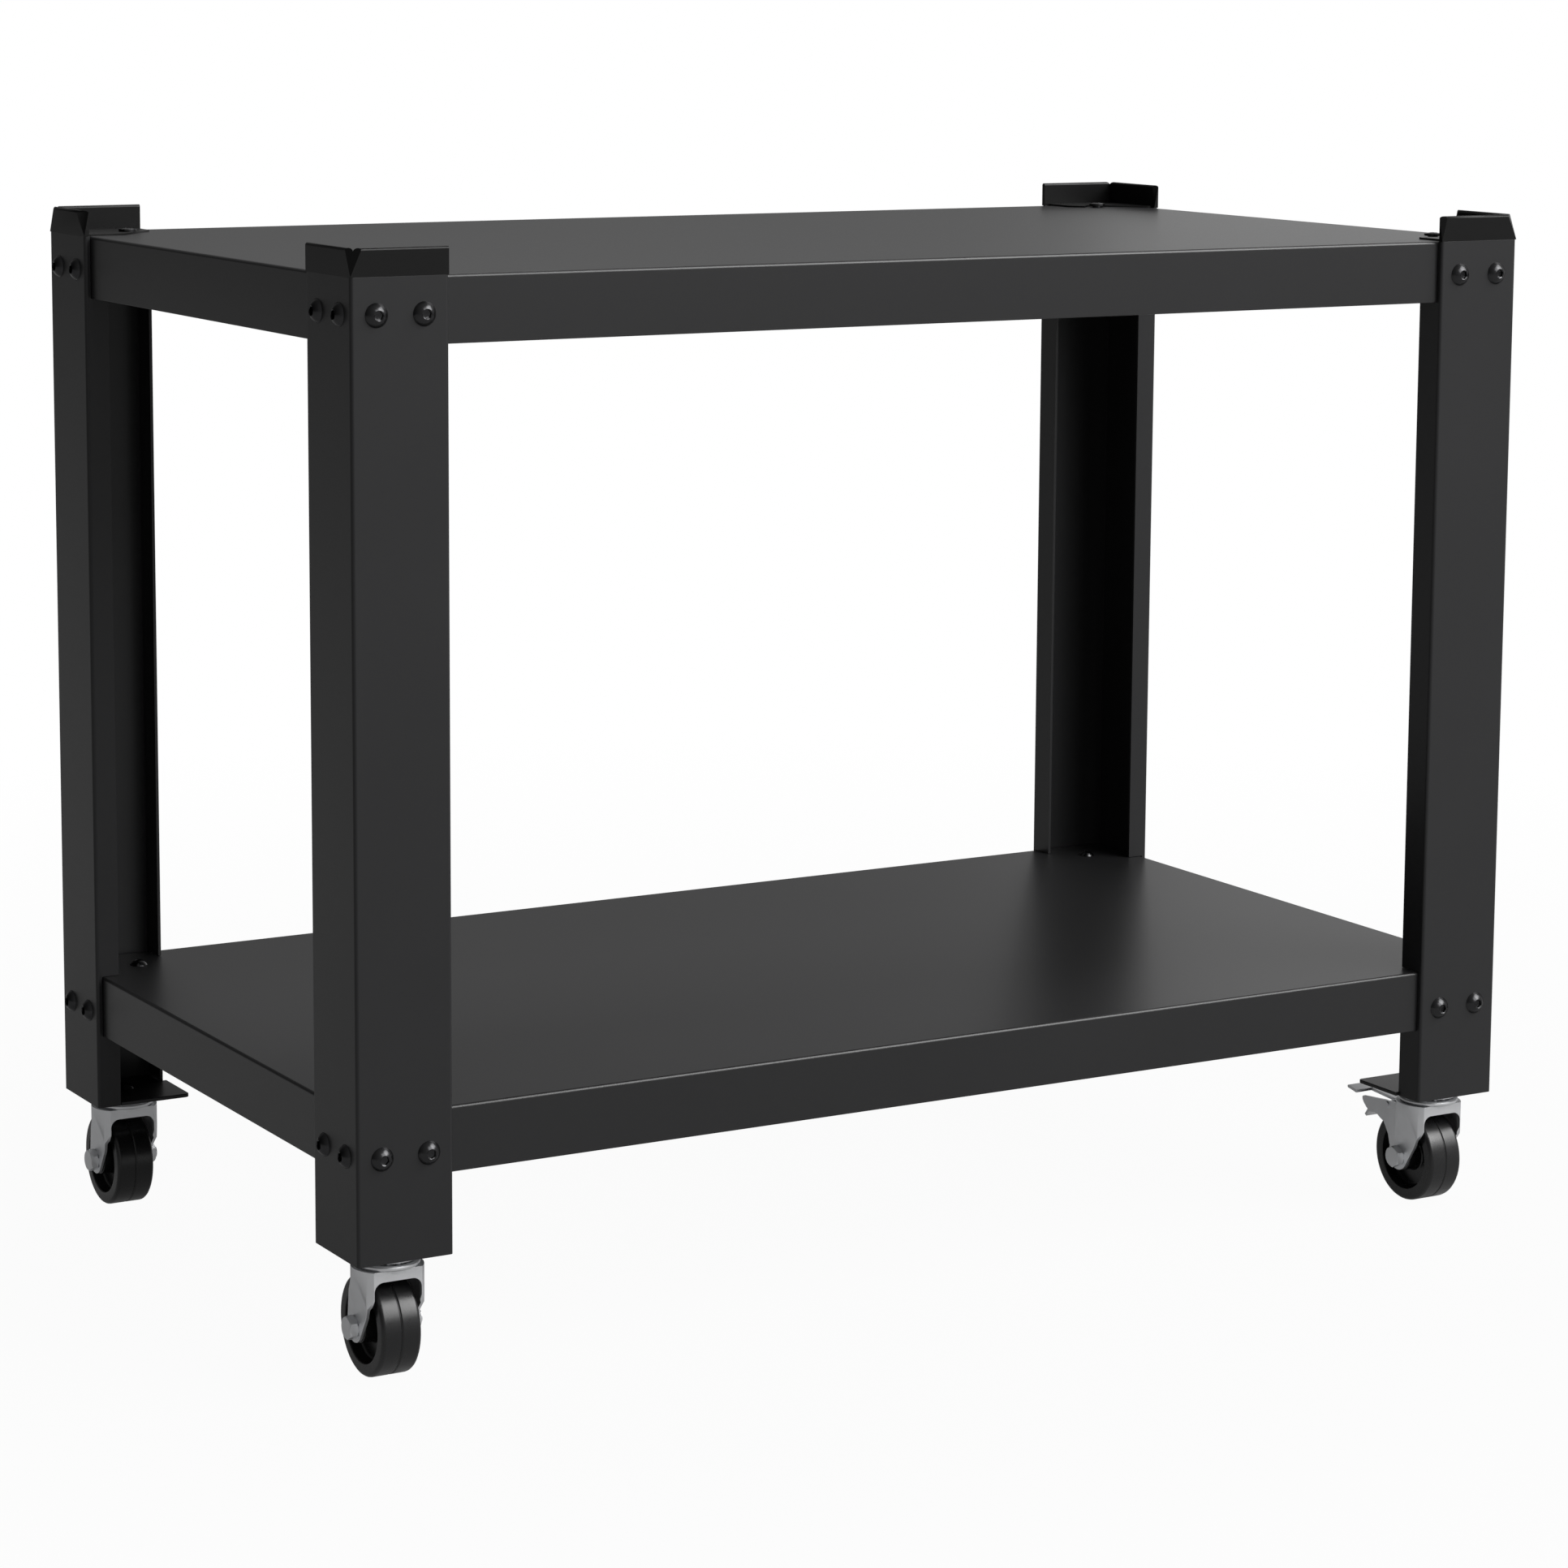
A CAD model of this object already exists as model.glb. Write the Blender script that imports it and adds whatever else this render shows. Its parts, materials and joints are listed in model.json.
"""The looks of a pizza oven stand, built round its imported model."""
import json
import math

import bmesh
import bpy
import numpy as np
from bpy.props import FloatProperty, FloatVectorProperty, PointerProperty
from mathutils import Matrix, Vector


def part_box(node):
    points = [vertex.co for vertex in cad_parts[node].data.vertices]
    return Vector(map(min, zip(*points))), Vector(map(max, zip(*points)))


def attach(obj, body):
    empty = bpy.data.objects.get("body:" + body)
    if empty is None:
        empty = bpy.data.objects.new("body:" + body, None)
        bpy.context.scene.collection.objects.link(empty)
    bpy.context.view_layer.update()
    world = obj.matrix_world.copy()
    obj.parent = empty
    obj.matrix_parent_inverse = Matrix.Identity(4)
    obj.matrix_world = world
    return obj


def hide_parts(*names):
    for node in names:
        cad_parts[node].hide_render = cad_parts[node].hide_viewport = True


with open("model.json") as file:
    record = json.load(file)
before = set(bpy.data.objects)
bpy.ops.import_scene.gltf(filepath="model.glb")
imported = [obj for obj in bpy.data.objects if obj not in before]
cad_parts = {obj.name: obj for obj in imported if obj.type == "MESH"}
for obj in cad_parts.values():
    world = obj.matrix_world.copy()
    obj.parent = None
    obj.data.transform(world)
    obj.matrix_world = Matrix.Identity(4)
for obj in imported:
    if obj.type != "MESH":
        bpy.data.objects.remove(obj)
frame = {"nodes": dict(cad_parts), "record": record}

bl_info = {
    "name": "Pizza oven stand",
    "version": (1, 0, 0),
    "blender": (4, 5, 0),
    "location": "View3D > Sidebar > Stand",
    "description": "Dresses the stand's legs, decks, guides, fasteners and casters",
    "category": "Object",
}

NODES = frame["nodes"]
BEHAVIOUR = frame["record"]["behaviour"]
JOINTS = {joint["name"]: joint for joint in BEHAVIOUR["joints"]}
BODIES = {node: body for body, nodes in BEHAVIOUR["bodies"].items() for node in nodes}
SLOTS = {part["node"]: part["material_slot"] for part in frame["record"]["subparts"]}
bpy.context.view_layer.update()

# Each corner of the stand, and the side of the middle on which it lies along X and Y
SIDES = {"front_left": (-1, -1), "front_right": (1, -1), "back_left": (-1, 1), "back_right": (1, 1)}
MM = 0.001


def box_mm(node):
    """The low and high corner of a node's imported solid, in millimetres."""
    return [np.array(point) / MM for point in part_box(node)]


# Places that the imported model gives, in millimetres
LEG_LOW, LEG_HIGH = box_mm("front_right_leg")
TOP_LOW, TOP_HIGH = box_mm("top_deck")
LOWER_LOW, LOWER_HIGH = box_mm("lower_deck")
HALF_LENGTH, HALF_WIDTH = LEG_HIGH[0], -LEG_LOW[1]
LEG_FACE = LEG_HIGH[0] - LEG_LOW[0]

# The legs' sheet, in millimetres: its wall, the outer radius of its folds, what is left of a lip
# where a deck passes, the gap to the deck there, and the least straight run beside a fold
LEG_WALL, LEG_BEND, LIP_STUB, LIP_GAP, LEAST_RUN = 2.5, 2.6, 4.7, 0.3, 0.1

# The decks' sheet: its wall, the outer radius of its folds and the points along them, the radius of
# its corners and the least one inside them, how far in from the rim the flat top and underside
# start, and the rounding of the flange's cut edge at its ends and halfway
DECK_WALL, DECK_BEND, FOLD_STEPS, DECK_CORNER, LEAST_CORNER = 2.0, 2.4, 7, 2.0, 0.4
FLAT_IN, CUT_END, CUT_HALFWAY = 60.0, 0.45, 0.13

# Leg bolts: shank, head, height of the dome, length, distance of the first from the leg's outer
# corner, pitch, and drop below the upper and the lower deck
BOLT_SHANK, BOLT_HEAD, BOLT_DOME, BOLT_LENGTH = 10.0, 17.5, 5.5, 13.3
BOLT_FIRST, BOLT_PITCH, UPPER_DROP, LOWER_DROP = 19.5, 36.5, 26.5, 30.5

# Deck corner screws: the same, the low head on the guides' feet with the share of it that is rim,
# the distance from the stand's outer faces, and the thickness of a guide's foot
SCREW_SHANK, SCREW_HEAD, SCREW_DOME, SCREW_LENGTH = 8.0, 14.0, 4.4, 10.0
LOW_HEAD, LOW_RIM, SCREW_IN, GUIDE_FOOT = 2.8, 0.6, 47.0, 1.5

# A screw's form: points round it, the steps inwards and up at its rim, how far inside the rim its
# dome starts, the points along the dome, and the chamfer of the shank's end
SCREW_SIDES, RIM_BELOW, RIM_ABOVE = 48, ((0.25, 0.0), (0.0, 0.12)), ((0.0, 0.12), (0.08, 0.3))
DOME_IN, DOME_STEPS, SHANK_CHAMFER = 0.35, 9, 0.6

# Its hexagon socket: width over flats, mouth and tip of the drill hole as shares of the shank, the
# height of its floor as a share of the head, and in millimetres its chamfer and the hole's depth
SOCKET_FLATS, SOCKET_MOUTH, SOCKET_TIP, SOCKET_FLOOR = 0.6, 0.38, 0.25, 0.42
SOCKET_CHAMFER, DRILL_DEEP = 0.4, 0.5

# The turns at which the screws stop: the seed of the random numbers and how many are drawn. The
# rise of a direction, as a share of its length, past which it counts as upright
SPIN_SEED, SPIN_COUNT, NEAR_UPRIGHT = 7, 80, 0.9

# Half of a wheel's section from the bore out to the groove, as distance from its middle plane, as
# distance from the axle and as the radius of the fold there: hub, web, rim and tread
WHEEL_HALF = ((18, 7.05, 0), (18, 12, 0.8), (5.7, 12.8, 1.5), (5.7, 26.6, 2.5), (15.5, 27.6, 0.9),
              (15.5, 37.5, 3.2), (0.95, 37.5, 0.25))
GROOVE, WHEEL_STEPS = (0, 36.7, 0.4), 96

# Edges over the first angle stay sharp, edges over the second are rounded, and faces that differ
# by less than the third are one. Points that are closer than the merging distance, in metres, are
# one too
SHARP_ANGLE, BEVEL_ANGLE, FLAT_ANGLE = math.radians(35), math.radians(50), math.radians(0.5)
MERGE = 1e-6

# Rounding of the guides' and of the turned pieces' edges, as shares of the cut sheet's rounding
GUIDE_EDGE, TURNED_EDGE = 1.6, 0.5

# The photograph's camera, fitted to the stand's straight edges: its place in metres, above the
# legs' feet, its angles in radians, its focal length in pixels, its shift as a share of the frame
CAMERA_PLACE, CAMERA_YAW, CAMERA_PITCH = (-1.75084, -3.01214, 0.91310), 0.52683, 0.14356
CAMERA_ROLL, CAMERA_FOCAL, CAMERA_SHIFT = 0.00639, 5372.77, -0.12
PHOTO_SIDE, SENSOR = 1932.0, 36.0
FLOOR_HALF = 12.0

# Sockets of a mix of colours: its two ends and its result
MIX_DARK, MIX_LIGHT, MIX_OUT = 6, 7, 2


def linear(code):
    """The linear colour of an sRGB hex code.

    Up to 0.04045 a value is divided by 12.92; above, 0.055 is added, the sum is divided by 1.055
    and raised to the power of 2.4."""
    values = np.array([int(code[i:i + 2], 16) for i in (1, 3, 5)]) / 255
    return np.where(values <= 0.04045, values / 12.92, ((values + 0.055) / 1.055) ** 2.4)


def add(tree, kind, settings=None, links=None):
    """Adds one node: settings go to its sockets or its own attributes, and links to its inputs."""
    node = tree.nodes.new(kind)
    for key, value in (settings or {}).items():
        if isinstance(key, int) or key in node.inputs:
            node.inputs[key].default_value = value
        else:
            setattr(node, key, value)
    for key, source in (links or {}).items():
        tree.links.new(source, node.inputs[key])
    return node


def new_material(name):
    """An empty material with its tree."""
    material = bpy.data.materials.new(name)
    material.use_nodes = True
    material.node_tree.nodes.clear()
    return material, material.node_tree


def shades(colour, share):
    """The two ends of a mix: a colour made darker by a share of itself, and lighter by the same."""
    return {"data_type": "RGBA", MIX_DARK: (*np.array(colour) * (1 - share), 1.0),
            MIX_LIGHT: (*np.array(colour) * (1 + share), 1.0)}


def around(roughness, below, above):
    """The range of a map that leads from below a roughness to above it."""
    return {"To Min": roughness - below, "To Max": roughness + above}


def powder_coat(name, colour, roughness, grit_mm, depth_mm, gloss_level=0.5, skin_weight=0.0):
    """Powder coat, sprayed dry and baked: a satin skin with the fine orange peel of melted grains.

    Where the powder flowed out well, a smoother skin lies on top and draws a thin bright line
    along every fold. The noise's scale is one over the grains' size in metres. The tint has
    clouds about 110 mm wide."""
    material, tree = new_material(name)
    place = add(tree, "ShaderNodeTexCoord").outputs["Object"]
    grain = add(tree, "ShaderNodeTexNoise",
                {"Scale": 1 / (grit_mm * MM), "Detail": 2.0, "Roughness": 0.6}, {"Vector": place})
    cloud = add(tree, "ShaderNodeTexNoise", {"Scale": 9.0, "Detail": 3.0}, {"Vector": place})
    tint = add(tree, "ShaderNodeMix", shades(colour, 0.12), {0: cloud.outputs["Fac"]})
    gloss = add(tree, "ShaderNodeMapRange", around(roughness, 0.05, 0.05),
                {"Value": grain.outputs["Fac"]})
    bump = add(tree, "ShaderNodeBump", {"Strength": 1.0, "Distance": depth_mm * MM},
               {"Height": grain.outputs["Fac"]})
    skin = add(tree, "ShaderNodeBsdfPrincipled",
               {"IOR": 1.5, "Specular IOR Level": gloss_level, "Coat Weight": skin_weight,
                "Coat Roughness": 0.18},
               {"Base Color": tint.outputs[MIX_OUT], "Roughness": gloss.outputs[0],
                "Normal": bump.outputs[0]})
    add(tree, "ShaderNodeOutputMaterial", None, {"Surface": skin.outputs[0]})
    return material


def plated_steel(name, colour, roughness):
    """Plate or oxide on steel: a metal whose fine crystals blur every reflection a little.

    The crystals are drawn 0.5 mm wide, as coarse as they need to be to show, and the cloudy
    tint of the bath 12 mm wide."""
    material, tree = new_material(name)
    place = add(tree, "ShaderNodeTexCoord").outputs["Object"]
    fine = add(tree, "ShaderNodeTexNoise", {"Scale": 1 / (0.5 * MM), "Detail": 2.0},
               {"Vector": place})
    wide = add(tree, "ShaderNodeTexNoise", {"Scale": 1 / (12 * MM), "Detail": 2.0},
               {"Vector": place})
    tint = add(tree, "ShaderNodeMix", shades(colour, 0.06), {0: wide.outputs["Fac"]})
    gloss = add(tree, "ShaderNodeMapRange", around(roughness, 0.04, 0.04),
                {"Value": fine.outputs["Fac"]})
    skin = add(tree, "ShaderNodeBsdfPrincipled", {"Metallic": 1.0},
               {"Base Color": tint.outputs[MIX_OUT], "Roughness": gloss.outputs[0]})
    add(tree, "ShaderNodeOutputMaterial", None, {"Surface": skin.outputs[0]})
    return material


def moulded_rubber(name, colour, roughness):
    """Hard black rubber, moulded: nearly smooth, with a broad shine and faint flow marks.

    The flow marks are 6 mm wide, and the pores, drawn as coarse as they need to be, 0.4 mm."""
    material, tree = new_material(name)
    place = add(tree, "ShaderNodeTexCoord").outputs["Object"]
    flow = add(tree, "ShaderNodeTexNoise", {"Scale": 1 / (6 * MM), "Detail": 3.0},
               {"Vector": place})
    pores = add(tree, "ShaderNodeTexNoise", {"Scale": 1 / (0.4 * MM), "Detail": 1.0},
                {"Vector": place})
    gloss = add(tree, "ShaderNodeMapRange", around(roughness, 0.06, 0.08),
                {"Value": flow.outputs["Fac"]})
    bump = add(tree, "ShaderNodeBump", {"Strength": 0.6, "Distance": 0.02 * MM},
               {"Height": pores.outputs["Fac"]})
    skin = add(tree, "ShaderNodeBsdfPrincipled", {"Base Color": (*colour, 1.0), "IOR": 1.52},
               {"Roughness": gloss.outputs[0], "Normal": bump.outputs[0]})
    add(tree, "ShaderNodeOutputMaterial", None, {"Surface": skin.outputs[0]})
    return material


class StandFinish(bpy.types.PropertyGroup):
    """Colours and sizes that a user would change."""
    coat: FloatVectorProperty(
        name="Leg coat", description="Colour of the powder coat on the legs and foot plates",
        subtype="COLOR", size=3, default=linear("#202021"))
    deck_coat: FloatVectorProperty(
        name="Deck coat", description="Colour of the powder coat on both decks",
        subtype="COLOR", size=3, default=linear("#181819"))
    guide_coat: FloatVectorProperty(
        name="Guide coat", description="Colour of the powder coat on the corner guides",
        subtype="COLOR", size=3, default=linear("#060606"))
    rubber: FloatVectorProperty(
        name="Rubber", description="Colour of the wheels",
        subtype="COLOR", size=3, default=linear("#121213"))
    edge: FloatProperty(
        name="Edge", description="Rounding of the sheet's cut edges",
        unit="LENGTH", default=0.55 * MM)
    lip_deep: FloatProperty(
        name="Deep lip", description="Lip of a leg's front wall", unit="LENGTH", default=26 * MM)
    lip_shallow: FloatProperty(
        name="Shallow lip", description="Lip of a leg's end wall", unit="LENGTH", default=19 * MM)


class StandLight(bpy.types.PropertyGroup):
    """The studio round the stand."""
    key: FloatProperty(
        name="Key", description="Power of the front softbox", unit="POWER", default=250.0)
    top: FloatProperty(
        name="Top", description="Power of the top softbox", unit="POWER", default=125.0)
    side: FloatProperty(
        name="Side", description="Power of the low softbox on the right", unit="POWER", default=5.0)
    back: FloatProperty(
        name="Back", description="Power of the high softbox behind", unit="POWER", default=38.0)
    room: FloatProperty(
        name="Room", description="Brightness of the room's light", subtype="FACTOR", default=0.33)


MATERIALS = {}


def material_of(finish):
    """The material of a finish, made the first time that it is asked for."""
    colours = bpy.context.scene.stand_finish
    makers = {
        # Satin black powder coat: even, with a grain that softens every reflection
        "powder_coat": lambda: powder_coat(
            "satin_powder_coat", colours.coat, roughness=0.42, grit_mm=0.7, depth_mm=0.02,
            gloss_level=0.3, skin_weight=0.15),
        # The decks' coat is the same powder, smoother where it flowed on the flat
        "deck_coat": lambda: powder_coat(
            "deck_powder_coat", colours.deck_coat, roughness=0.36, grit_mm=0.9, depth_mm=0.012),
        # Dull black powder coat of the guides: darker and flatter than the legs
        "dull_coat": lambda: powder_coat(
            "dull_powder_coat", colours.guide_coat, roughness=0.34, grit_mm=0.5, depth_mm=0.02,
            gloss_level=0.25),
        # Black oxide on turned screws: dark metal with sharp bright glints
        "black_screws": lambda: plated_steel(
            "black_oxide_screws", linear("#3d3d3e"), roughness=0.24),
        # Bright zinc plate on pressed steel: pale grey, with soft broad reflections
        "zinc": lambda: plated_steel(
            "bright_zinc_plate", linear("#e6e7e9"), roughness=0.46),
        # Ground bearing steel: the shiniest metal here
        "bearing_steel": lambda: plated_steel(
            "bearing_steel", linear("#c8c8cb"), roughness=0.15),
        # Hard black rubber of the wheels, moulded: nearly smooth, with a soft broad shine
        "wheel_black": lambda: moulded_rubber(
            "hard_black_rubber", colours.rubber, roughness=0.28),
    }
    if finish not in MATERIALS:
        MATERIALS[finish] = makers[finish]()
    return MATERIALS[finish]


def paint(obj, finish):
    """Gives every material slot of an object the material of one finish."""
    if not obj.data.materials:
        obj.data.materials.append(None)
    for i in range(len(obj.data.materials)):
        obj.data.materials[i] = material_of(finish)


def new_object(name, data):
    """An object with its data, linked into the scene."""
    obj = bpy.data.objects.new(name, data)
    bpy.context.scene.collection.objects.link(obj)
    return obj


def finish_piece(name, node, work, bevel=None, finish=None):
    """Turns a bmesh into the piece that stands for a node: doubles go, and its edges are rounded.

    It takes its body and its slot from the record, and its finish from the slot unless one is
    given."""
    bmesh.ops.remove_doubles(work, verts=work.verts, dist=MERGE)
    bmesh.ops.dissolve_degenerate(work, edges=work.edges, dist=MERGE)
    bmesh.ops.recalc_face_normals(work, faces=work.faces)
    mesh = bpy.data.meshes.new(name)
    work.to_mesh(mesh)
    work.free()
    mesh.shade_smooth()
    mesh.set_sharp_from_angle(angle=SHARP_ANGLE)
    obj = new_object(name, mesh)
    if bevel:
        modifier = obj.modifiers.new("edges", "BEVEL")
        modifier.width, modifier.segments = bevel, 2
        modifier.limit_method, modifier.angle_limit = "ANGLE", BEVEL_ANGLE
    obj.modifiers.new("normals", "WEIGHTED_NORMAL").keep_sharp = True
    paint(obj, finish or SLOTS[node])
    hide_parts(node)
    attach(obj, BODIES[node])


def make_piece(name, node, points, faces, bevel=None, finish=None):
    """Makes the piece that stands for a node from points in millimetres and faces."""
    mesh = bpy.data.meshes.new(name)
    mesh.from_pydata((np.asarray(points, float) * MM).tolist(), [], faces)
    work = bmesh.new()
    work.from_mesh(mesh)
    bpy.data.meshes.remove(mesh)
    finish_piece(name, node, work, bevel, finish)


def soften(name, node, bevel):
    """Copies a node's solid, merges its triangles into flat faces and rounds its edges."""
    work = bmesh.new()
    work.from_mesh(NODES[node].data)
    bmesh.ops.remove_doubles(work, verts=work.verts, dist=MERGE)
    bmesh.ops.dissolve_limit(work, angle_limit=FLAT_ANGLE, verts=work.verts, edges=work.edges)
    finish_piece(name, node, work, bevel)


def unit(vectors):
    """Vectors divided by their lengths."""
    return vectors / np.linalg.norm(vectors, axis=-1, keepdims=True)


def at_height(outline, z):
    """A flat outline as a ring of points at a height."""
    return np.column_stack([outline, np.full(len(outline), z)])


def loft(rings, capped=True):
    """Points and faces of a grid of closed rings: four-sided faces join each ring to the next."""
    rings = np.asarray(rings, float)
    rows, count = rings.shape[:2]
    index = np.arange(rows * count).reshape(rows, count)
    a, b = index[:-1], index[1:]
    quads = np.stack([a, np.roll(a, -1, 1), np.roll(b, -1, 1), b], -1).reshape(-1, 4).tolist()
    caps = [index[0][::-1].tolist(), index[-1].tolist()] if capped else []
    return rings.reshape(-1, 3), quads + caps


def filleted(corners, radii, steps=6):
    """An outline whose corners are arcs of the given radii.

    Each arc's centre lies on the line that halves the corner, at the radius over the sine of the
    half angle, and its ends lie on the sides, at the radius over the tangent of the half angle."""
    corners, radii = np.asarray(corners, float), np.asarray(radii, float)
    before = unit(np.roll(corners, 1, 0) - corners)
    after = unit(np.roll(corners, -1, 0) - corners)
    half = np.arccos(np.clip((before * after).sum(1), -1, 1)) / 2
    centre = corners + unit(before + after) * (radii / np.sin(half))[:, None]
    start = corners + before * (radii / np.tan(half))[:, None] - centre
    side = np.sign(before[:, 0] * after[:, 1] - before[:, 1] * after[:, 0])
    turn = -side * (math.pi - 2 * half)
    share = np.linspace(0, 1, steps)[None, :] * turn[:, None]
    c, s = np.cos(share), np.sin(share)
    arc = np.stack([start[:, 0:1] * c - start[:, 1:2] * s,
                    start[:, 0:1] * s + start[:, 1:2] * c], -1)
    return (centre[:, None, :] + arc).reshape(-1, 2)


def on_corner(points, corner):
    """Moves points to a corner of the stand.

    They are drawn from a leg's outer corner, with X and Y running inwards."""
    points = np.array(points, float)
    side_x, side_y = SIDES[corner]
    points[..., 0] = side_x * (HALF_LENGTH - points[..., 0])
    points[..., 1] = side_y * (HALF_WIDTH - points[..., 1])
    return points


def leg_section(deep, shallow):
    """The outline of a leg's sheet: two walls, the fold between them and a lip at each end.

    Each fold has the bend's radius outside and the bend less the wall inside. Where a lip is cut
    short, a fold's radius is at most what is left of it less the least straight run."""
    wall, bend, face, inner = LEG_WALL, LEG_BEND, LEG_FACE, LEG_BEND - LEG_WALL
    out_deep, out_shallow = (min(bend, reach - LEAST_RUN) for reach in (deep, shallow))
    in_deep, in_shallow = (min(inner, max(reach - wall - LEAST_RUN, 0))
                           for reach in (deep, shallow))
    corners = [(0, 0), (face, 0), (face, deep), (face - wall, deep), (face - wall, wall),
               (wall, wall), (wall, face - wall), (shallow, face - wall), (shallow, face),
               (0, face)]
    radii = [bend, out_deep, 0, 0, in_deep, inner, in_shallow, 0, 0, out_shallow]
    return filleted(corners, radii)


class STAND_OT_legs(bpy.types.Operator):
    """Folds the four legs: their section is carried up, and the lips step back at the decks"""
    bl_idname = "stand.legs"
    bl_label = "Legs"

    def execute(self, context):
        settings = context.scene.stand_finish
        full, stub = (settings.lip_deep / MM, settings.lip_shallow / MM), (LIP_STUB, LIP_STUB)
        lower_start, lower_end = LOWER_LOW[2] - LIP_GAP, LOWER_HIGH[2] + LIP_GAP
        top_start = TOP_LOW[2] - LIP_GAP
        levels = [(LEG_LOW[2], full), (lower_start, full), (lower_start, stub), (lower_end, stub),
                  (lower_end, full), (top_start, full), (top_start, stub), (LEG_HIGH[2], stub)]
        rings = [at_height(leg_section(*lips), z) for z, lips in levels]
        for corner in SIDES:
            points, faces = loft(on_corner(rings, corner))
            make_piece(corner + "_leg_sheet", corner + "_leg", points, faces, settings.edge)
        return {"FINISHED"}


def deck_rings(low, high):
    """A tray's section, carried round on rectangles with rounded corners.

    It runs from the middle of the top over the fold and the flange to the underside. The fold's
    insets are the bend less the bend times the sine of an angle, and its falls the bend less the
    bend times the cosine."""
    bend, wall, depth, inner = DECK_BEND, DECK_WALL, high[2] - low[2], DECK_BEND - DECK_WALL
    t = np.linspace(0, math.pi / 2, FOLD_STEPS)
    inset = np.concatenate([
        [FLAT_IN], bend - bend * np.sin(t), [0.0, CUT_HALFWAY, CUT_END],
        [wall - CUT_END, wall - CUT_HALFWAY, wall], (wall + inner - inner * np.sin(t))[::-1],
        [FLAT_IN]])
    fall = np.concatenate([
        [0.0], bend - bend * np.cos(t), [depth - CUT_END, depth - CUT_HALFWAY, depth],
        [depth, depth - CUT_HALFWAY, depth - CUT_END], (wall + inner - inner * np.cos(t))[::-1],
        [wall]])
    rings = []
    for d, z in zip(inset, fall):
        x, y, radius = high[0] - d, high[1] - d, max(DECK_CORNER - d, LEAST_CORNER)
        outline = filleted([(-x, -y), (x, -y), (x, y), (-x, y)], [radius] * 4, steps=5)
        rings.append(at_height(outline, high[2] - z))
    return rings


class STAND_OT_decks(bpy.types.Operator):
    """Folds the two decks: trays with a rounded fold and a flange turned down all round"""
    bl_idname = "stand.decks"
    bl_label = "Decks"

    def execute(self, context):
        for node, low, high in (("top_deck", TOP_LOW, TOP_HIGH),
                                ("lower_deck", LOWER_LOW, LOWER_HIGH)):
            points, faces = loft(deck_rings(low, high))
            make_piece(node + "_sheet", node, points, faces, finish="deck_coat")
        return {"FINISHED"}


class STAND_OT_guides(bpy.types.Operator):
    """Folds the four corner guides that keep the oven in its place"""
    bl_idname = "stand.guides"
    bl_label = "Corner guides"

    def execute(self, context):
        width = context.scene.stand_finish.edge * GUIDE_EDGE
        for corner in SIDES:
            soften(corner + "_guide_plate", corner + "_guide", width)
        return {"FINISHED"}


class STAND_OT_pressings(bpy.types.Operator):
    """Presses the foot plates, forks, brakes and axles: their edges are rounded, and shallow folds
    run smoothly into each other"""
    bl_idname = "stand.pressings"
    bl_label = "Plates, forks, brakes and axles"

    def execute(self, context):
        edge = context.scene.stand_finish.edge
        for node in NODES:
            if node.endswith(("_plate", "_fork", "_pedal")):
                soften(node + "_pressed", node, edge)
            elif node.endswith(("_axle_bolt", "_axle_nut")):
                soften(node + "_turned", node, edge * TURNED_EDGE)
        return {"FINISHED"}


def round_ring(radius, z):
    """A ring of points round a screw's axis, at a radius or at one radius for each point."""
    angle = np.arange(SCREW_SIDES) * 2 * math.pi / SCREW_SIDES
    return at_height(np.column_stack([radius * np.cos(angle), radius * np.sin(angle)]), z)


def six_sided(flats):
    """The radius of a hexagon at each point of a ring.

    It is half the width over flats, divided by the cosine of the angle off the nearest flat."""
    angle = np.arange(SCREW_SIDES) * 2 * math.pi / SCREW_SIDES
    return flats / 2 / np.cos((angle + math.pi / 6) % (math.pi / 3) - math.pi / 6)


def screw(shank, head, height, length, rim=0.0):
    """A domed screw as rings: shank, underside, rim, spherical dome and a hexagon socket.

    The dome's radius is (r * r + h * h) / 2h, where r is the head's radius and h the dome's height
    above the rim. Its points are the sine and cosine of angles evenly spaced from rim to mouth."""
    dome_high = height - rim
    ball = ((head / 2) ** 2 + dome_high ** 2) / (2 * dome_high)
    mouth = SOCKET_MOUTH * shank
    crown = height - ball + math.sqrt(ball ** 2 - mouth ** 2)
    t = np.linspace(math.asin((head / 2 - DOME_IN) / ball), math.asin(mouth / ball), DOME_STEPS)
    profile = [(shank / 2 - SHANK_CHAMFER, -length), (shank / 2, -length + SHANK_CHAMFER),
               (shank / 2, 0)]
    profile += [(head / 2 - inward, up) for inward, up in RIM_BELOW]
    profile += [(head / 2 - inward, rim + up) for inward, up in RIM_ABOVE]
    profile += [(ball * math.sin(a), height - ball + ball * math.cos(a)) for a in t]
    flats, floor = SOCKET_FLATS * shank, height * SOCKET_FLOOR
    profile += [(six_sided(flats), crown - SOCKET_CHAMFER), (six_sided(flats), floor),
                (six_sided(SOCKET_TIP * shank), floor - DRILL_DEEP)]
    return loft([round_ring(radius, z) for radius, z in profile])


def repeated(points, faces, frames):
    """One shape set at many places, each given by a frame of 3 by 4 numbers.

    A copy's points are the frame's axes times the shape's points plus the frame's place, and its
    faces count on from the copy before."""
    frames = np.asarray(frames, float)
    moved = np.einsum("kij,nj->kni", frames[:, :, :3], points) + frames[:, None, :, 3]
    faces = [[i + k * len(points) for i in face] for k in range(len(frames)) for face in faces]
    return moved.reshape(-1, 3), faces


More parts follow.
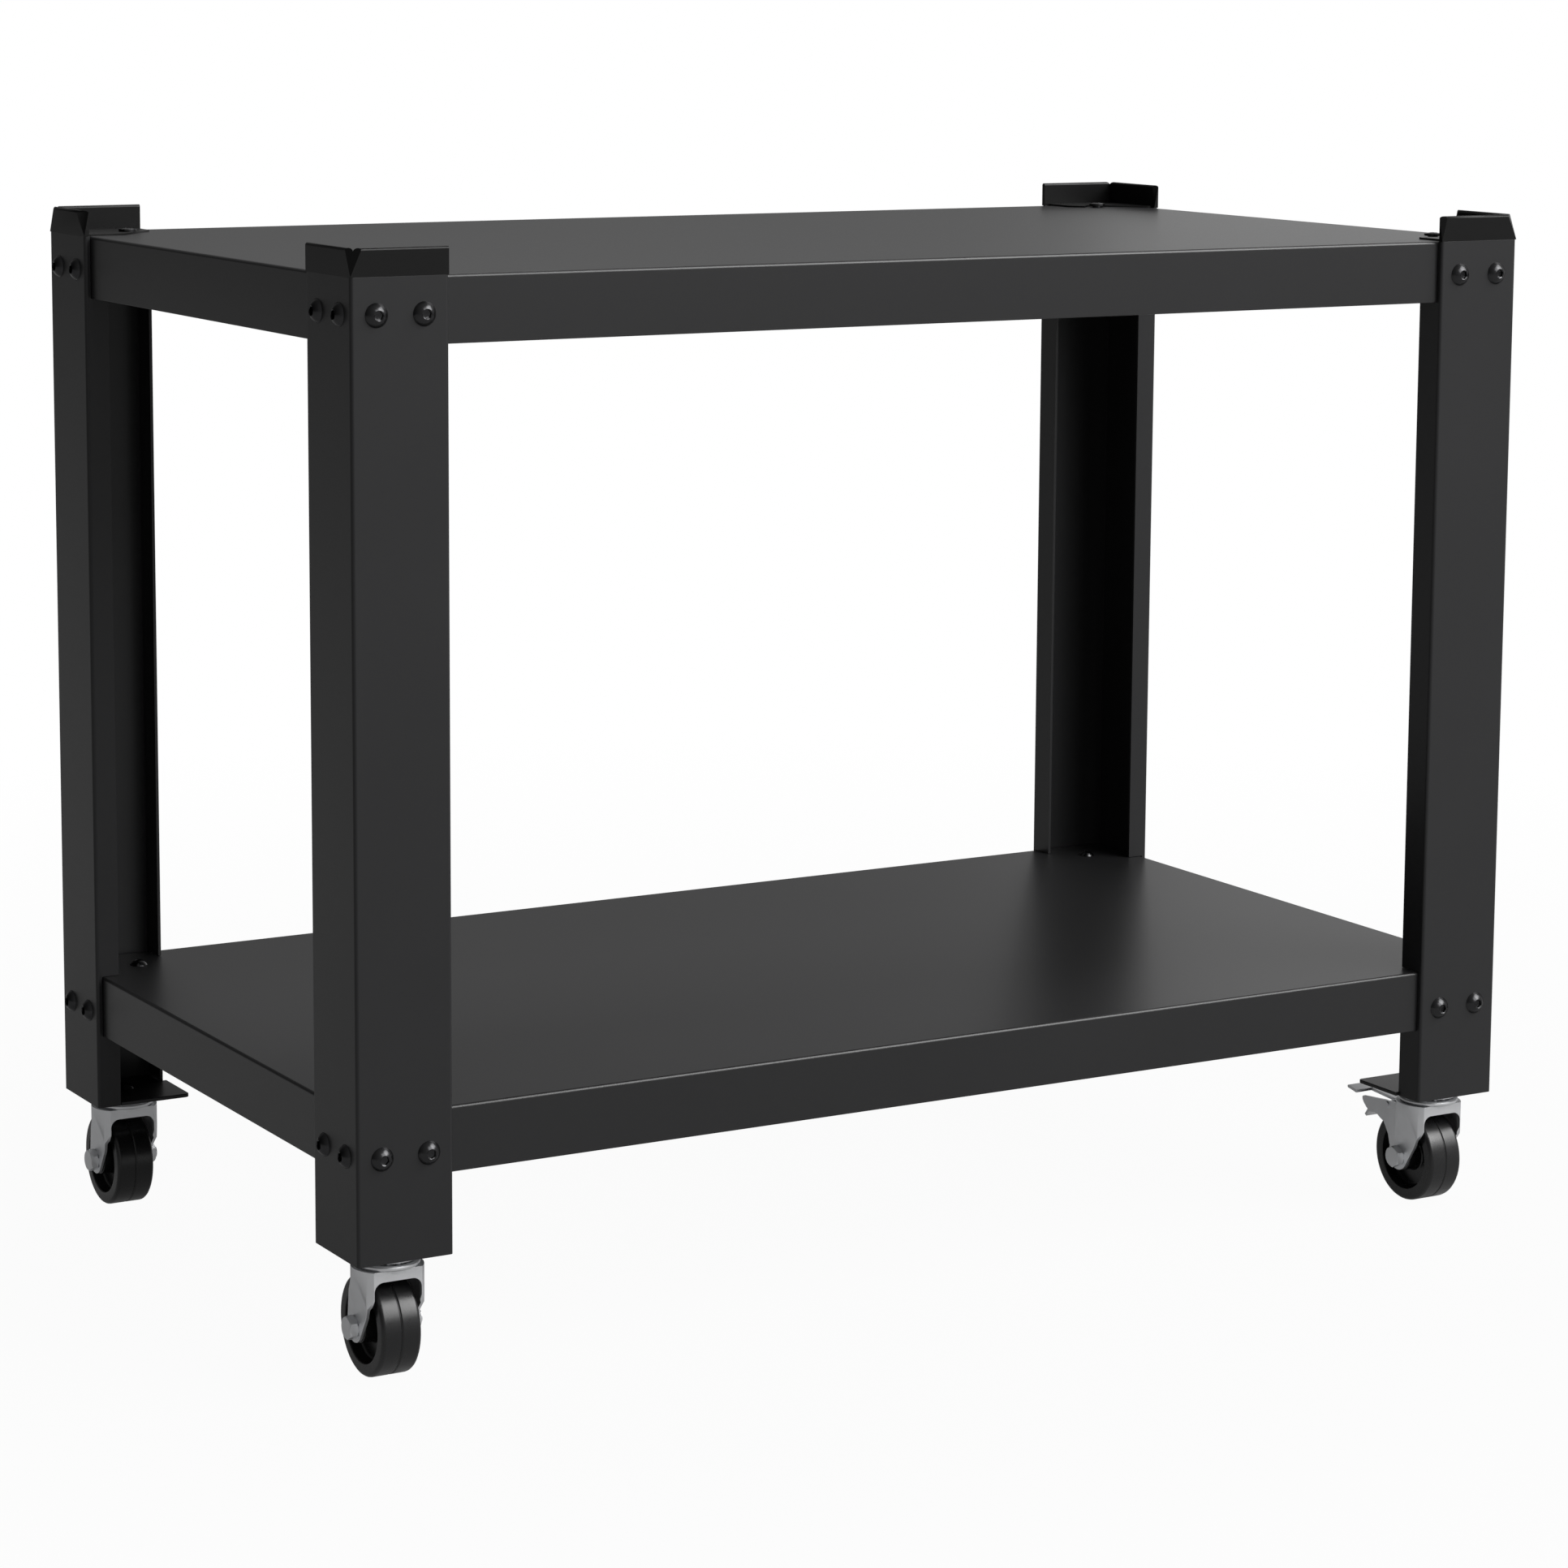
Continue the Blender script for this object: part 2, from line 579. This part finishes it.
def outward(direction, place, spin):
    """A frame at a place whose Z runs along a direction, turned by a spin about it.

    Its side is level, or along X where the direction is near upright. X is the side times the
    spin's cosine, plus what stands square to it and to Z times the spin's sine."""
    z = np.asarray(direction, float)
    side = unit(np.cross([0, 0, 1], z) if abs(z[2]) < NEAR_UPRIGHT else np.array([1.0, 0, 0]))
    x = side * math.cos(spin) + np.cross(z, side) * math.sin(spin)
    return np.column_stack([x, np.cross(z, x), z, place])


class STAND_OT_screws(bpy.types.Operator):
    """Turns the domed screws: leg bolts, deck corner screws and the casters' king bolts"""
    bl_idname = "stand.screws"
    bl_label = "Screws"

    def execute(self, context):
        # Each screw stops at its own angle when it is tightened
        spins = iter(np.random.default_rng(SPIN_SEED).uniform(0, 1.0, SPIN_COUNT))
        self.leg_bolts(spins)
        self.corner_screws(spins)
        self.king_bolts(spins)
        return {"FINISHED"}

    def leg_bolts(self, spins):
        """Two bolts in each wall of each leg at each deck, a first distance and a pitch inwards."""
        frames = []
        for sx, sy in SIDES.values():
            for z in (TOP_HIGH[2] - UPPER_DROP, LOWER_HIGH[2] - LOWER_DROP):
                for u in (BOLT_FIRST, BOLT_FIRST + BOLT_PITCH):
                    front = (sx * (HALF_LENGTH - u), sy * HALF_WIDTH, z)
                    frames.append(outward((0, sy, 0), front, next(spins)))
                    end = (sx * HALF_LENGTH, sy * (HALF_WIDTH - u), z)
                    frames.append(outward((sx, 0, 0), end, next(spins)))
        bolt = screw(BOLT_SHANK, BOLT_HEAD, BOLT_DOME, BOLT_LENGTH)
        make_piece("leg_bolts_turned", "leg_bolts", *repeated(*bolt, frames))

    def corner_screws(self, spins):
        """One screw in each corner of each deck: low heads on the guides' feet, full ones below."""
        low_head = screw(SCREW_SHANK, SCREW_HEAD, LOW_HEAD, SCREW_LENGTH + GUIDE_FOOT,
                         LOW_RIM * LOW_HEAD)
        full_head = screw(SCREW_SHANK, SCREW_HEAD, SCREW_DOME, SCREW_LENGTH)
        shapes = []
        for z, shape in ((TOP_HIGH[2] + GUIDE_FOOT, low_head), (LOWER_HIGH[2], full_head)):
            frames = []
            for sx, sy in SIDES.values():
                place = (sx * (HALF_LENGTH - SCREW_IN), sy * (HALF_WIDTH - SCREW_IN), z)
                frames.append(outward((0, 0, 1), place, next(spins)))
            shapes.append(repeated(*shape, frames))
        (points, faces), (more, others) = shapes
        faces += [[i + len(points) for i in face] for face in others]
        make_piece("corner_screws_turned", "corner_screws", np.vstack([points, more]), faces)

    def king_bolts(self, spins):
        """One bolt down the middle of each caster, its seat one dome below the solid's top."""
        for corner in SIDES:
            node = corner + "_king_bolt"
            low, high = box_mm(node)
            x, y, _ = (low + high) / 2
            seat = high[2] - BOLT_DOME
            bolt = screw(BOLT_SHANK, BOLT_HEAD, BOLT_DOME, seat - low[2])
            frames = [outward((0, 0, 1), (x, y, seat), next(spins))]
            make_piece(node + "_turned", node, *repeated(*bolt, frames))


def wheel_rings():
    """A wheel's section, turned once round the axle.

    The section is given half: the other half mirrors it across the groove. A point at a distance
    from the axle goes to the cosine and sine of each angle times that distance."""
    left = [(-along, away) for along, away, _ in WHEEL_HALF]
    right = [(along, away) for along, away, _ in WHEEL_HALF[::-1]]
    radii = [radius for _, _, radius in (*WHEEL_HALF, GROOVE, *WHEEL_HALF[::-1])]
    along, away = filleted([*left, GROOVE[:2], *right], radii, steps=5).T
    angle = np.linspace(0, 2 * math.pi, WHEEL_STEPS + 1)[:, None]
    return np.stack([np.broadcast_to(along, (WHEEL_STEPS + 1, len(along))),
                     np.cos(angle) * away, np.sin(angle) * away], -1)


class STAND_OT_wheels(bpy.types.Operator):
    """Moulds the four wheels: hub, web and a crowned tyre with a groove round its middle.
    Each is turned from X to the axis of its own axle, and stands in the middle of its solid"""
    bl_idname = "stand.wheels"
    bl_label = "Wheels"

    def execute(self, context):
        points, faces = loft(wheel_rings(), capped=False)
        for corner in SIDES:
            node = corner + "_wheel"
            low, high = box_mm(node)
            c, s, _ = JOINTS[corner + "_roll"]["axis"]
            axes = np.array([(c, s, 0), (-s, c, 0), (0, 0, 1)])
            make_piece(node + "_moulded", node, points @ axes + (low + high) / 2, faces)
        return {"FINISHED"}


class STAND_OT_solids(bpy.types.Operator):
    """Gives every solid that stays as it is the finish of its slot"""
    bl_idname = "stand.solids"
    bl_label = "Races, balls, bushes and nuts"

    def execute(self, context):
        for node, slot in SLOTS.items():
            if not NODES[node].hide_render:
                paint(NODES[node], slot)
        return {"FINISHED"}


def stand_at(obj, x, y, z, place):
    """Sets an object's axes and its place."""
    obj.matrix_world = Matrix([*np.column_stack([x, y, z, place]).tolist(), [0, 0, 0, 1]])


def light(name, place, aim, size, power):
    """A softbox: an area lamp at a place, turned so that it faces a point. All in metres."""
    lamp = bpy.data.lights.new(name, "AREA")
    lamp.shape, lamp.energy = "RECTANGLE", power
    lamp.size, lamp.size_y = size
    z = unit(np.array(place, float) - np.array(aim, float))
    x = unit(np.cross([0, 0, 1], z))
    stand_at(new_object(name, lamp), x, np.cross(z, x), z, place)


class STAND_OT_stage(bpy.types.Operator):
    """Sets the camera, the pale floor, the room and the soft lights"""
    bl_idname = "stand.stage"
    bl_label = "Stage"

    def execute(self, context):
        scene = context.scene
        watts = scene.stand_light
        scene.view_settings.view_transform = "Standard"
        self.camera(scene)
        self.floor()
        self.room(scene, watts.room)
        middle = (0, 0, 0.4)
        light("softbox_front", (2.0, -5.2, 4.2), middle, (6.0, 3.6), watts.key)
        light("softbox_right", (3.6, 2.8, 1.5), (0.2, 0, 0.8), (2.4, 1.4), watts.side)
        light("softbox_top", (2.2, -2.0, 3.0), middle, (2.8, 2.4), watts.top)
        light("softbox_back", (0.6, 2.3, 4.4), middle, (1.6, 1.2), watts.back)
        return {"FINISHED"}

    def camera(self, scene):
        """The camera looks along the sine and cosine of its yaw, lowered by its pitch.

        Its lens is the focal length in pixels, over the frame's pixels, times the sensor."""
        yaw, pitch, roll = CAMERA_YAW, CAMERA_PITCH, CAMERA_ROLL
        ahead = np.array([math.sin(yaw) * math.cos(pitch), math.cos(yaw) * math.cos(pitch),
                          -math.sin(pitch)])
        right = np.array([math.cos(yaw), -math.sin(yaw), 0.0])
        up = np.cross(right, ahead)
        side = right * math.cos(roll) + up * math.sin(roll)
        top = up * math.cos(roll) - right * math.sin(roll)
        data = bpy.data.cameras.new("camera")
        data.sensor_width, data.lens = SENSOR, CAMERA_FOCAL / PHOTO_SIDE * SENSOR
        data.shift_y = CAMERA_SHIFT
        scene.camera = new_object("camera", data)
        place = np.array(CAMERA_PLACE) + (0, 0, LEG_LOW[2] * MM)
        stand_at(scene.camera, side, top, -ahead, place)

    def floor(self):
        """Matt grey card, white to the eye, the more so the further from the stand."""
        half = FLOOR_HALF
        mesh = bpy.data.meshes.new("floor")
        mesh.from_pydata([(-half, -half, 0), (half, -half, 0), (half, half, 0), (-half, half, 0)],
                         [], [(0, 1, 2, 3)])
        material, tree = new_material("white_studio_floor")
        place = add(tree, "ShaderNodeTexCoord")
        away = add(tree, "ShaderNodeVectorMath", {"operation": "LENGTH"},
                   {0: place.outputs["Object"]})
        path = add(tree, "ShaderNodeLightPath")
        matt = add(tree, "ShaderNodeBsdfDiffuse", {"Color": (0.25, 0.25, 0.25, 1)})
        glow = add(tree, "ShaderNodeEmission", {"Color": (1, 1, 1, 1), "Strength": 1.0})
        white = add(tree, "ShaderNodeMapRange",
                    {"From Min": 0.6, "From Max": 2.2, "To Min": 0.96, "To Max": 1.0},
                    {"Value": away.outputs["Value"]})
        eye = add(tree, "ShaderNodeMath", {"operation": "MULTIPLY"},
                  {0: white.outputs[0], 1: path.outputs["Is Camera Ray"]})
        # Reflections see a fifth of the white
        share = add(tree, "ShaderNodeMath", {"operation": "MULTIPLY_ADD", 1: 0.2},
                    {0: path.outputs["Is Glossy Ray"], 2: eye.outputs[0]})
        both = add(tree, "ShaderNodeMixShader", None,
                   {0: share.outputs[0], 1: matt.outputs[0], 2: glow.outputs[0]})
        add(tree, "ShaderNodeOutputMaterial", None, {"Surface": both.outputs[0]})
        mesh.materials.append(material)
        new_object("floor", mesh)

    def room(self, scene, strength):
        """The room is dim on the left and at the back, and the eye sees a white wall."""
        world = bpy.data.worlds.new("studio")
        world.use_nodes = True
        tree = world.node_tree
        tree.nodes.clear()
        place = add(tree, "ShaderNodeTexCoord")
        side = add(tree, "ShaderNodeVectorMath",
                   {"operation": "DOT_PRODUCT", 1: (0.8, -0.6, 0.0)},
                   {0: place.outputs["Generated"]})
        dim = add(tree, "ShaderNodeMapRange",
                  {"From Min": -1.0, "To Min": 0.1 * strength, "To Max": 1.7 * strength},
                  {"Value": side.outputs["Value"]})
        path = add(tree, "ShaderNodeLightPath")
        level = add(tree, "ShaderNodeMix", {3: 1.0},
                    {0: path.outputs["Is Camera Ray"], 2: dim.outputs[0]})
        back = add(tree, "ShaderNodeBackground", {"Color": (1, 1, 1, 1)},
                   {"Strength": level.outputs[0]})
        add(tree, "ShaderNodeOutputWorld", None, {"Surface": back.outputs[0]})
        scene.world = world


class STAND_PT_panel(bpy.types.Panel):
    """Lists the pieces in the 3D view's sidebar"""
    bl_label = "Pizza oven stand"
    bl_space_type = "VIEW_3D"
    bl_region_type = "UI"
    bl_category = "Stand"

    def draw(self, context):
        column = self.layout.column()
        for name in ("coat", "deck_coat", "guide_coat", "rubber", "edge", "lip_deep",
                     "lip_shallow"):
            column.prop(context.scene.stand_finish, name)
        for name in ("key", "top", "side", "back", "room"):
            column.prop(context.scene.stand_light, name)
        for operator in PIECES:
            column.operator(operator.bl_idname)


PIECES = (STAND_OT_legs, STAND_OT_decks, STAND_OT_guides, STAND_OT_pressings, STAND_OT_screws,
          STAND_OT_wheels, STAND_OT_solids, STAND_OT_stage)
CLASSES = (StandFinish, StandLight, *PIECES, STAND_PT_panel)


def register():
    """Registers the classes and hangs their settings on the scene."""
    for item in CLASSES:
        bpy.utils.register_class(item)
    bpy.types.Scene.stand_finish = PointerProperty(type=StandFinish)
    bpy.types.Scene.stand_light = PointerProperty(type=StandLight)


def unregister():
    """Takes the settings and the classes away again."""
    del bpy.types.Scene.stand_finish, bpy.types.Scene.stand_light
    for item in reversed(CLASSES):
        bpy.utils.unregister_class(item)


def main():
    """Builds the pieces in order."""
    register()
    bpy.ops.stand.legs()
    bpy.ops.stand.decks()
    bpy.ops.stand.guides()
    bpy.ops.stand.pressings()
    bpy.ops.stand.screws()
    bpy.ops.stand.wheels()
    bpy.ops.stand.solids()
    bpy.ops.stand.stage()


if __name__ == "__main__":
    main()
